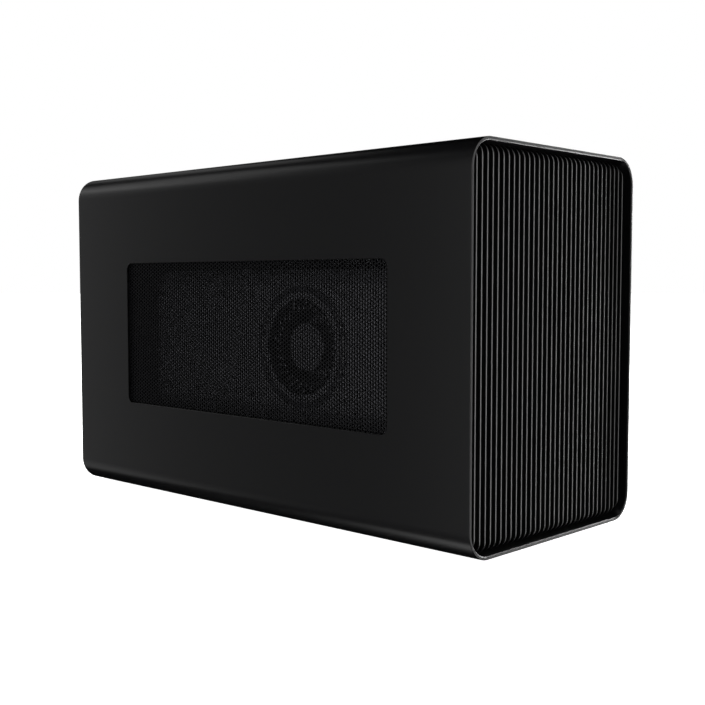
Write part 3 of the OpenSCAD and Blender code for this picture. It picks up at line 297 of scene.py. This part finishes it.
NODE_FINISH = {
    # Sleeve side
    "sleeve": anodised_black, "window_mesh": mesh_black, "vent_mesh": mesh_black,
    "front_fin_panel": fin_black, "front_bulkhead": panel_black, "feet": rubber,
    "guide_rails": nylon_black,
    # Drawer
    "base_tray": zinc_sheet, "rear_panel": panel_black, "centre_wall": zinc_sheet,
    "board_shelf": zinc_sheet, "fan_bracket": zinc_sheet, "handle_bracket": panel_black,
    "handle_pins": screw_plate, "handle": abs_black, "slot_cover": panel_black,
    "thumbscrews": panel_black,
    # Power supply
    "supply_case": panel_black, "supply_cover": panel_black, "supply_circuit": board_tan,
    "supply_fan_frame": abs_fan, "supply_fan_rotor": abs_fan, "supply_fan_guard": wire_plate,
    "mains_inlet": nylon_black, "mains_pins": brass, "switch_housing": nylon_black,
    "switch_rocker": abs_black, "supply_screws": screw_plate,
    # Case fan
    "case_fan_frame": abs_fan, "case_fan_rotor": abs_fan, "case_fan_screws": screw_plate,
    # Carrier board
    "carrier_board": board_green, "board_standoffs": brass, "card_slot": nylon_black,
    "card_latch": nylon_white, "controller_heatsink": raw_aluminium, "power_socket": nylon_black,
    "usb_c_socket": bright_plate,
    # Graphics card
    "card_board": board_black, "card_backplate": anodised_black, "card_bracket": bright_plate,
    "video_sockets": bright_plate, "card_power_sockets": nylon_black, "card_heatsink": raw_aluminium,
    "blower_motor": motor_plate, "blower_rotor": abs_blower, "card_shroud": abs_hood,
    "shroud_screws": screw_plate,
}
for node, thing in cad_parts.items():
    thing.data.materials.clear()
    thing.data.materials.append(NODE_FINISH[node])


# ---------------------------------------------------------------- sleeve
def lip_profile(front, rear):
    """Section of the sleeve's wall as (distance out from the inner face, place along Y) pairs."""
    profile = [(0.0, rear), (0.0, front + LIP_CHAMFER), (LIP_CHAMFER, front)]
    for i in range(LIP_STEPS + 1):
        angle = math.radians(90 * i / LIP_STEPS)
        profile.append((SLEEVE_WALL - LIP_ROUND * (1 - math.sin(angle)),
                        front + LIP_ROUND * (1 - math.cos(angle))))
    profile += [(SLEEVE_WALL, rear - REAR_CHAMFER), (SLEEVE_WALL - REAR_CHAMFER, rear)]
    return profile


def cutter(node, side, face_x):
    """Plug with a flared mouth that cuts an opening and its fine chamfer into one side of the sleeve."""
    low, high = box_mm(node)
    middle = middle_of(low, high)
    length, height = high[1] - low[1] - 2 * SHEET_RIM, high[2] - low[2] - 2 * SHEET_RIM
    rings = []
    for inward, grow in ((-CUTTER_PAST, CUT_CHAMFER), (0.0, CUT_CHAMFER), (CUT_CHAMFER, 0.0),
                         (SLEEVE_WALL + CUTTER_PAST, 0.0)):
        outline = rounded_outline(length + 2 * grow, height + 2 * grow, CUT_RADIUS + grow, CUT_STEPS)
        rings.append([(face_x - side * inward, middle[1] + u, middle[2] + v) for u, v in outline])
    name = f"cutter_{node}"
    thing = bpy.data.objects.new(name, mesh_of(name, *loft(rings, closed=False)))
    bpy.context.collection.objects.link(thing)
    return thing


def make_sleeve():
    """The extruded sleeve, with its bevelled front lip and the two openings."""
    low, high = box_mm("sleeve")
    middle = middle_of(low, high)
    width, height = high[0] - low[0], high[2] - low[2]
    rings = []
    for out, y in lip_profile(low[1], high[1]):
        grow = out - SLEEVE_WALL
        outline = rounded_outline(width + 2 * grow, height + 2 * grow, SLEEVE_RADIUS + grow)
        rings.append([(u, y, middle[2] + v) for u, v in outline])
    mesh = mesh_of("sleeve_shell", *loft(rings))
    shell = piece("sleeve_shell", mesh, "enclosure", anodised_black, ["sleeve"])
    mesh.materials.append(anodised_cut)
    for node, side, face_x in (("window_mesh", -1, low[0]), ("vent_mesh", 1, high[0])):
        plug = cutter(node, side, face_x)
        cut = shell.modifiers.new("cut", "BOOLEAN")
        cut.object, cut.solver = plug, "EXACT"
        with bpy.context.temp_override(object=shell, active_object=shell):
            bpy.ops.object.modifier_apply(modifier="cut")
        bpy.data.objects.remove(plug)
    lip_end = (low[1] + LIP_CHAMFER) * MM
    for face in shell.data.polygons:
        face.material_index = 1 if face.normal.y < CUT_FACE_TURN and face.center.y < lip_end else 0
    shell.data.set_sharp_from_angle(angle=math.radians(SLEEVE_SHARP_DEGREES))
    shell.modifiers.new("even_sides", "WEIGHTED_NORMAL").keep_sharp = True


make_sleeve()


# ---------------------------------------------------------------- perforated sheets
def perforated_sheet(name, node):
    """A thin sheet with hexagonal holes in staggered columns that run on behind the opening's rim."""
    low, high = box_mm(node)
    length, height = high[1] - low[1], high[2] - low[2]
    step = HOLE_PITCH * math.sqrt(3) / 2
    solid_rim = SHEET_RIM - HOLES_PAST_CUT
    columns = int((length - 2 * solid_rim) / step)
    rows = int((height - 2 * solid_rim) / HOLE_PITCH)
    cell = HOLE_PITCH / math.sqrt(3)
    hole = (HOLE_PITCH - HOLE_WEB) / math.sqrt(3)
    corners = [(math.cos(math.radians(60 * k)), math.sin(math.radians(60 * k))) for k in range(6)]
    points, faces, shared = [], [], {}

    def corner_index(u, v):
        """The number of the point at a cell's corner, which neighbouring cells share."""
        key = (round(u / CORNER_STEP), round(v / CORNER_STEP))
        if key not in shared:
            shared[key] = len(points)
            points.append((u, v))
        return shared[key]

    # Edges that only one face has, and whether each is a hole's
    edges = {}
    for i in range(columns):
        for j in range(rows):
            u = (i - (columns - 1) / 2) * step
            v = (j - (rows - 1) / 2) * HOLE_PITCH + (i % 2 - 0.5) * HOLE_PITCH / 2
            outer = [corner_index(u + cell * c, v + cell * s) for c, s in corners]
            inner = []
            for c, s in corners:
                inner.append(len(points))
                points.append((u + hole * c, v + hole * s))
            for k in range(6):
                n = (k + 1) % 6
                faces.append((outer[k], outer[n], inner[n], inner[k]))
                edges[(inner[n], inner[k])] = True
                pair = (outer[k], outer[n])
                if (pair[1], pair[0]) in edges:
                    del edges[(pair[1], pair[0])]
                else:
                    edges[pair] = False
    # The ragged border of the cells, followed round, and the sheet's own outline
    after = {a: b for (a, b), is_hole in edges.items() if not is_hole}
    start = next(iter(after))
    ragged = [start]
    while after[ragged[-1]] != start:
        ragged.append(after[ragged[-1]])
    first = len(points)
    points += rounded_outline(length, height, CUT_RADIUS, CUT_STEPS)
    outline = list(range(first, len(points)))
    loops = [outline, ragged]
    flat = [i for loop in loops for i in loop]
    filled = tessellate_polygon([[Vector((*points[i], 0)) for i in loop] for loop in loops])
    faces += [tuple(flat[i] for i in triangle) for triangle in filled]
    # Two faces of the sheet and the walls between them
    count = len(points)
    middle = middle_of(low, high)
    solid = [(x, middle[1] + u, middle[2] + v) for x in (low[0], high[0]) for u, v in points]
    rims = [(outline[k], outline[(k + 1) % len(outline)]) for k in range(len(outline))]
    rims += [pair for pair, is_hole in edges.items() if is_hole]
    faces += [tuple(count + i for i in reversed(face)) for face in faces]
    faces += [(a, b, count + b, count + a) for a, b in rims]
    piece(name, mesh_of(name, solid, faces), "enclosure", mesh_black, [node], smooth_under=20)


perforated_sheet("window_screen", "window_mesh")
perforated_sheet("vent_screen", "vent_mesh")


# ---------------------------------------------------------------- fins
def set_back(distance, radius):
    """How far a rolled rim lies behind the front plane, that distance in from its edge."""
    if distance >= radius:
        return 0.0
    reach = radius - max(distance, 0.0)
    return radius - math.sqrt(max(radius ** 2 - reach ** 2, 0.0))


def make_fins():
    """The comb of fins, whose fronts roll back at their upper and lower ends."""
    (x0, y0, z0), (x1, y1, z1) = box_mm("front_fin_panel")
    half_w, middle_z, half_h = (x1 - x0) / 2, (z0 + z1) / 2, (z1 - z0) / 2
    corner = SLEEVE_RADIUS - SLEEVE_WALL
    upper = [half_h - FIN_END_ROLL * (1 - math.cos(math.radians(90 * i / FIN_ROLL_STEPS)))
             for i in range(FIN_ROLL_STEPS, -1, -1)]
    levels = [-z for z in reversed(upper)] + upper
    root, w = y0 + FIN_DEPTH + FIN_SUNK, FIN_FRONT_WIDTH / 2
    points, faces = [], []

    def keep(new_points, new_faces):
        """Adds one closed skin to the comb."""
        faces.extend(tuple(len(points) + k for k in face) for face in new_faces)
        points.extend(new_points)

    for i in range(FIN_COUNT):
        x = (i - (FIN_COUNT - 1) / 2) * FIN_PITCH
        # The panel's corner shortens the outermost fins
        past = max(0.0, abs(x) - (half_w - corner))
        drop = corner - math.sqrt(max(corner ** 2 - past ** 2, 0.0))
        scale = (half_h - drop) / half_h
        rings = []
        for z in levels:
            face_y = y0 + set_back(half_h - abs(z), FIN_END_ROLL)
            height = middle_z + z * scale
            rings.append([(x - w, root, height), (x - w, face_y + FIN_EDGE, height),
                          (x - w + FIN_EDGE, face_y, height), (x + w - FIN_EDGE, face_y, height),
                          (x + w, face_y + FIN_EDGE, height), (x + w, root, height)])
        keep(*loft(rings, closed=False))
    outline = rounded_outline(x1 - x0, z1 - z0, corner - FIN_PLATE_TIGHTER, FIN_PLATE_STEPS)
    keep(*loft([[(u, y, middle_z + v) for u, v in outline] for y in (y0 + FIN_DEPTH, y1)], closed=False))
    piece("fin_grille", mesh_of("fin_grille", points, faces), "enclosure", fin_black,
          ["front_fin_panel"], smooth_under=30)


make_fins()


# ---------------------------------------------------------------- card

def make_hood_flange():
    """The lip at the hood's rear end that meets the card's bracket, so no light passes between them."""
    (x0, _, z0), (_, _, z1) = box_mm("card_shroud")
    bracket_front = box_mm("card_bracket")[0][1]
    middle_x, middle_z = x0 + FLANGE_WIDTH / 2, (z0 + z1 + FLANGE_RISE) / 2
    tall = z1 + FLANGE_RISE - z0
    rings = []
    for gap, less in FLANGE_RINGS:
        outline = rounded_outline(FLANGE_WIDTH - 2 * less, tall - 2 * less, FLANGE_RADIUS, FLANGE_STEPS)
        rings.append([(middle_x + u, bracket_front - gap, middle_z + v) for u, v in outline])
    piece("hood_end_flange", mesh_of("hood_end_flange", *loft(rings, closed=False)), "drawer",
          abs_hood)


make_hood_flange()


def make_intake_ring():
    """The raised ring round the blower's intake, its crown rolled over to both sides."""
    low, high = box_mm("blower_rotor")
    middle = middle_of(low, high)
    inner = (high[2] - low[2]) / 2 + RING_PAST_ROTOR
    face_x = box_mm("card_shroud")[0][0]
    crown = [math.radians(a) for a in range(0, 181, RING_CROWN_STEP)]
    section = [(inner, RING_SUNK)]
    section += [(inner + RING_WIDTH * (1 - math.cos(a)) / 2, -RING_RISE * math.sin(a)) for a in crown]
    section.append((inner + RING_WIDTH, RING_SUNK))
    turns = [2 * math.pi * k / RING_STEPS for k in range(RING_STEPS)]
    rings = [[(face_x + x, middle[1] + radius * math.cos(t), middle[2] + radius * math.sin(t)) for t in turns]
             for radius, x in section]
    piece("intake_ring", mesh_of("intake_ring", *loft(rings)), "drawer", abs_trim)


make_intake_ring()


# ---------------------------------------------------------------- studio
# Soft boxes in a ring round the object: name, degrees from -X towards +Y, height of the
# middle and width and height of the box in metres, and power in watts
BOX_DISTANCE = 2.0
STUDIO_CENTRE = (0, 0, 0.1)
STUDIO_BOXES = [
    ("right_rake_box", 185, 0.1, (0.6, 2.4), 150.0),
    ("front_box", 258, 0.1, (1.0, 2.4), 56.0),
    ("front_right_box", 228, 0.1, (1.0, 2.4), 11.0),
    ("left_box", 5, 0.1, (0.6, 2.4), 27.8),
    ("rear_left_box", 50, 0.1, (0.6, 2.4), 0.42),
    ("rear_box", 68, 0.1, (0.6, 2.4), 2.5),
    ("rear_high_box", 70, 1.5, (0.8, 0.9), 1.5),
    ("rear_right_box", 110, 1.5, (0.6, 0.9), 0.5),
    ("rear_face_box", 100, 0.1, (0.8, 0.7), 18.0),
]
# A small box from below the floor's level, for the sleeve's lower round: place, size and power
LOW_BOX = ((-0.5, 0.4, -1.0), (0.5, 0.5), 1.16)


def soft_light(name, place, size, power):
    """A soft box at a place, turned towards the studio's middle; sizes in metres."""
    lamp = bpy.data.lights.new(name, "AREA")
    lamp.shape, lamp.size, lamp.size_y = "RECTANGLE", size[0], size[1]
    lamp.energy = power
    thing = bpy.data.objects.new(name, lamp)
    thing.location = place
    thing.rotation_euler = (Vector(STUDIO_CENTRE) - Vector(place)).to_track_quat("-Z", "Y").to_euler()
    bpy.context.collection.objects.link(thing)


def make_studio():
    """White surroundings, black where they would be mirrored, and soft boxes round the object."""
    scene = bpy.context.scene
    scene.view_settings.view_transform = "Standard"
    world = bpy.data.worlds.new("studio")
    scene.world = world
    world.use_nodes = True
    tree = world.node_tree
    tree.nodes.clear()
    ray = add(tree, "ShaderNodeLightPath")
    bright = add(tree, "ShaderNodeBackground", {"Color": linear("#ffffff"), "Strength": 1.0})
    # The second shader stays empty, which is black: only the soft boxes are mirrored
    mixed = add(tree, "ShaderNodeMixShader", {0: ray.outputs["Is Glossy Ray"], 1: bright.outputs[0]})
    add(tree, "ShaderNodeOutputWorld", {"Surface": mixed.outputs[0]})
    for name, azimuth, height, size, power in STUDIO_BOXES:
        turn = math.radians(azimuth)
        place = (-math.cos(turn) * BOX_DISTANCE, math.sin(turn) * BOX_DISTANCE, height)
        soft_light(name, place, size, power)
    soft_light("low_round_box", *LOW_BOX)


def make_floor():
    """A pale floor that reaches past the view, and lets the boxes below its level light the object."""
    mesh = bpy.data.meshes.new("floor")
    corners = [(sx * FLOOR_REACH, sy * FLOOR_REACH, 0) for sx, sy in ((-1, -1), (1, -1), (1, 1), (-1, 1))]
    mesh.from_pydata(corners, [], [(0, 1, 2, 3)])
    # White paper, rolled: matt, with a faint unevenness
    paper = finish_of("floor_paper", "#f4f4f4", 0.9, 2.0, specular=0.1, mottle=0.01)
    # Lit through from below, as a light table is, so it stays white right up to the object
    shader = paper.node_tree.nodes["Principled BSDF"]
    shader.inputs["Emission Color"].default_value = linear("#ffffff")
    shader.inputs["Emission Strength"].default_value = 1.0
    mesh.materials.append(paper)
    floor = bpy.data.objects.new("floor", mesh)
    floor.visible_glossy = False
    floor.visible_shadow = False
    floor.visible_diffuse = False
    bpy.context.collection.objects.link(floor)


def make_camera():
    """The camera, where the photograph was taken from."""
    lens = bpy.data.cameras.new("camera")
    lens.sensor_width = SENSOR_MM
    lens.lens = CAMERA_FOCAL_PX * SENSOR_MM / PHOTO_SIDE_PX
    thing = bpy.data.objects.new("camera", lens)
    thing.location = CAMERA_PLACE
    thing.rotation_euler = (math.radians(90 - CAMERA_PITCH), 0, math.radians(-CAMERA_YAW))
    bpy.context.collection.objects.link(thing)
    bpy.context.scene.camera = thing


make_studio()
make_floor()
make_camera()
